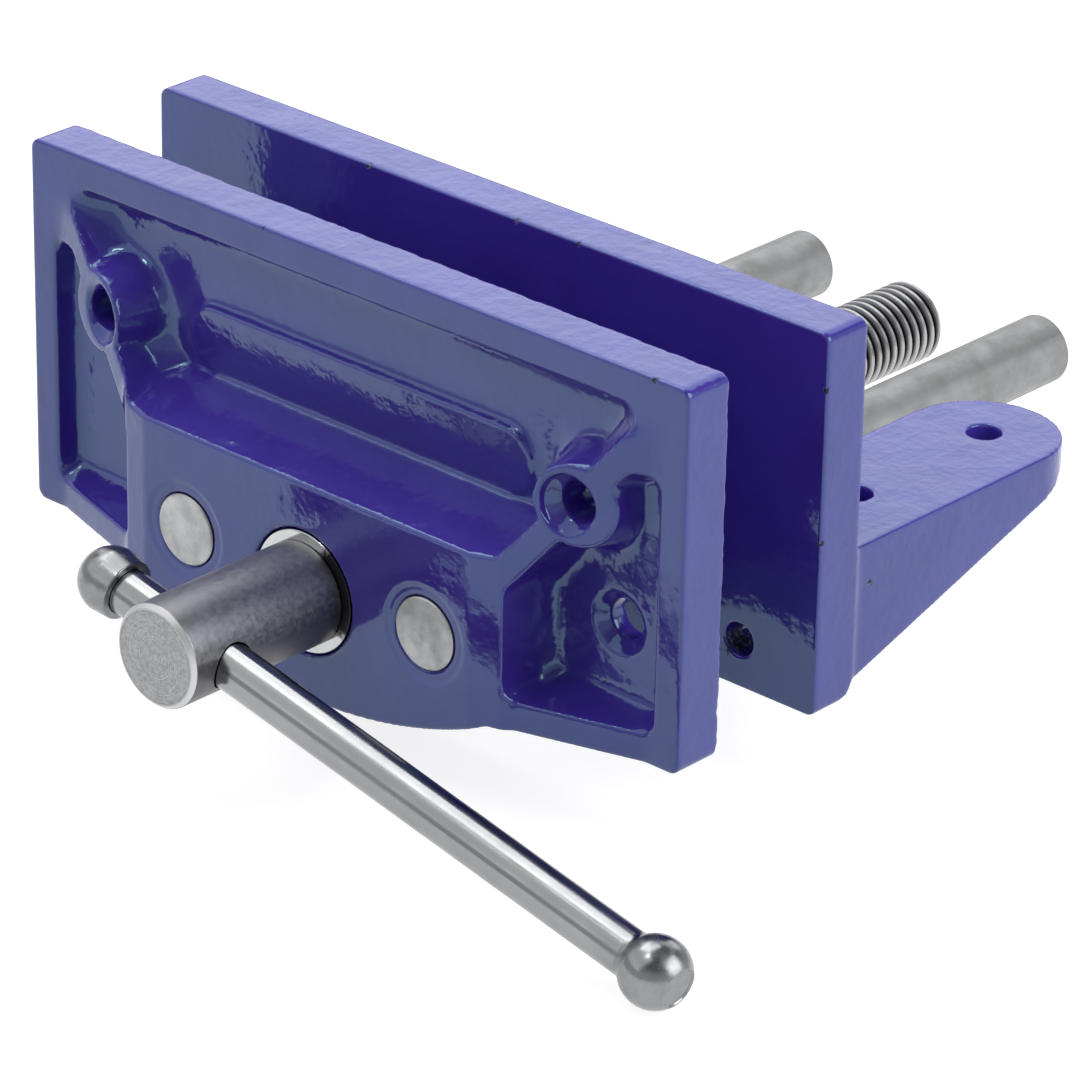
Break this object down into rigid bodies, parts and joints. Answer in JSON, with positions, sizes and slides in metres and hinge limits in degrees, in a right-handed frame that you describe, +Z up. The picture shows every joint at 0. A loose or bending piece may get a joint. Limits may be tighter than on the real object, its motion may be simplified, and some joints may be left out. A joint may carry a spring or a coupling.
{
  "type": "woodworking vise",
  "caption": "Cast woodworking vise for a bench edge: fixed rear jaw with bolt-on brackets, front jaw on guide bars, drawn in by a screw with a sliding bar handle.",
  "frame": {"origin": "middle of the four bench bolt holes, on the top face of the bench brackets", "axes": "+X along the jaws to the right as seen from the front, +Y to the back under the bench, +Z up"},
  "size_m": [0.2141, 0.2297, 0.0991],
  "materials": {
    "enamel": "glossy blue-violet enamel on iron castings",
    "bar_steel": "drawn steel, dull, lightly oiled",
    "dark_steel": "turned steel, dark and oiled",
    "bright_steel": "polished steel"
  },
  "bodies": {
    "vise_body": {"rear_jaw": "enamel", "main_nut": "dark_steel", "nut_screws": "dark_steel"},
    "front_jaw": {"front_jaw": "enamel", "guide_bar_left": "bar_steel", "guide_bar_right": "bar_steel", "guide_bar_pins": "dark_steel", "thrust_washer": "bar_steel", "retaining_washer": "bar_steel"},
    "screw": {"main_screw": "dark_steel", "retaining_ring": "dark_steel"},
    "handle": {"handle_bar": "bright_steel", "handle_knob": "bright_steel"}
  },
  "joints": [
    {"name": "jaw_slide", "type": "slide", "parent": "vise_body", "child": "front_jaw", "axis": [0, -1, 0], "range_m": [-0.0255, 0.105]},
    {"name": "screw_turn", "type": "hinge", "parent": "front_jaw", "child": "screw", "pos_m": [0, -0.13, -0.0188], "axis": [0, -1, 0], "range_deg": [-3671, 15119]},
    {"name": "handle_slide", "type": "slide", "parent": "screw", "child": "handle", "axis": [0.9781, 0, -0.2079], "range_m": [-0.098, 0.0079]}
  ],
  "couplings": [
    {"joint": "jaw_slide", "follows": "screw_turn", "m_per_rad": 0.00039789}
  ]
}
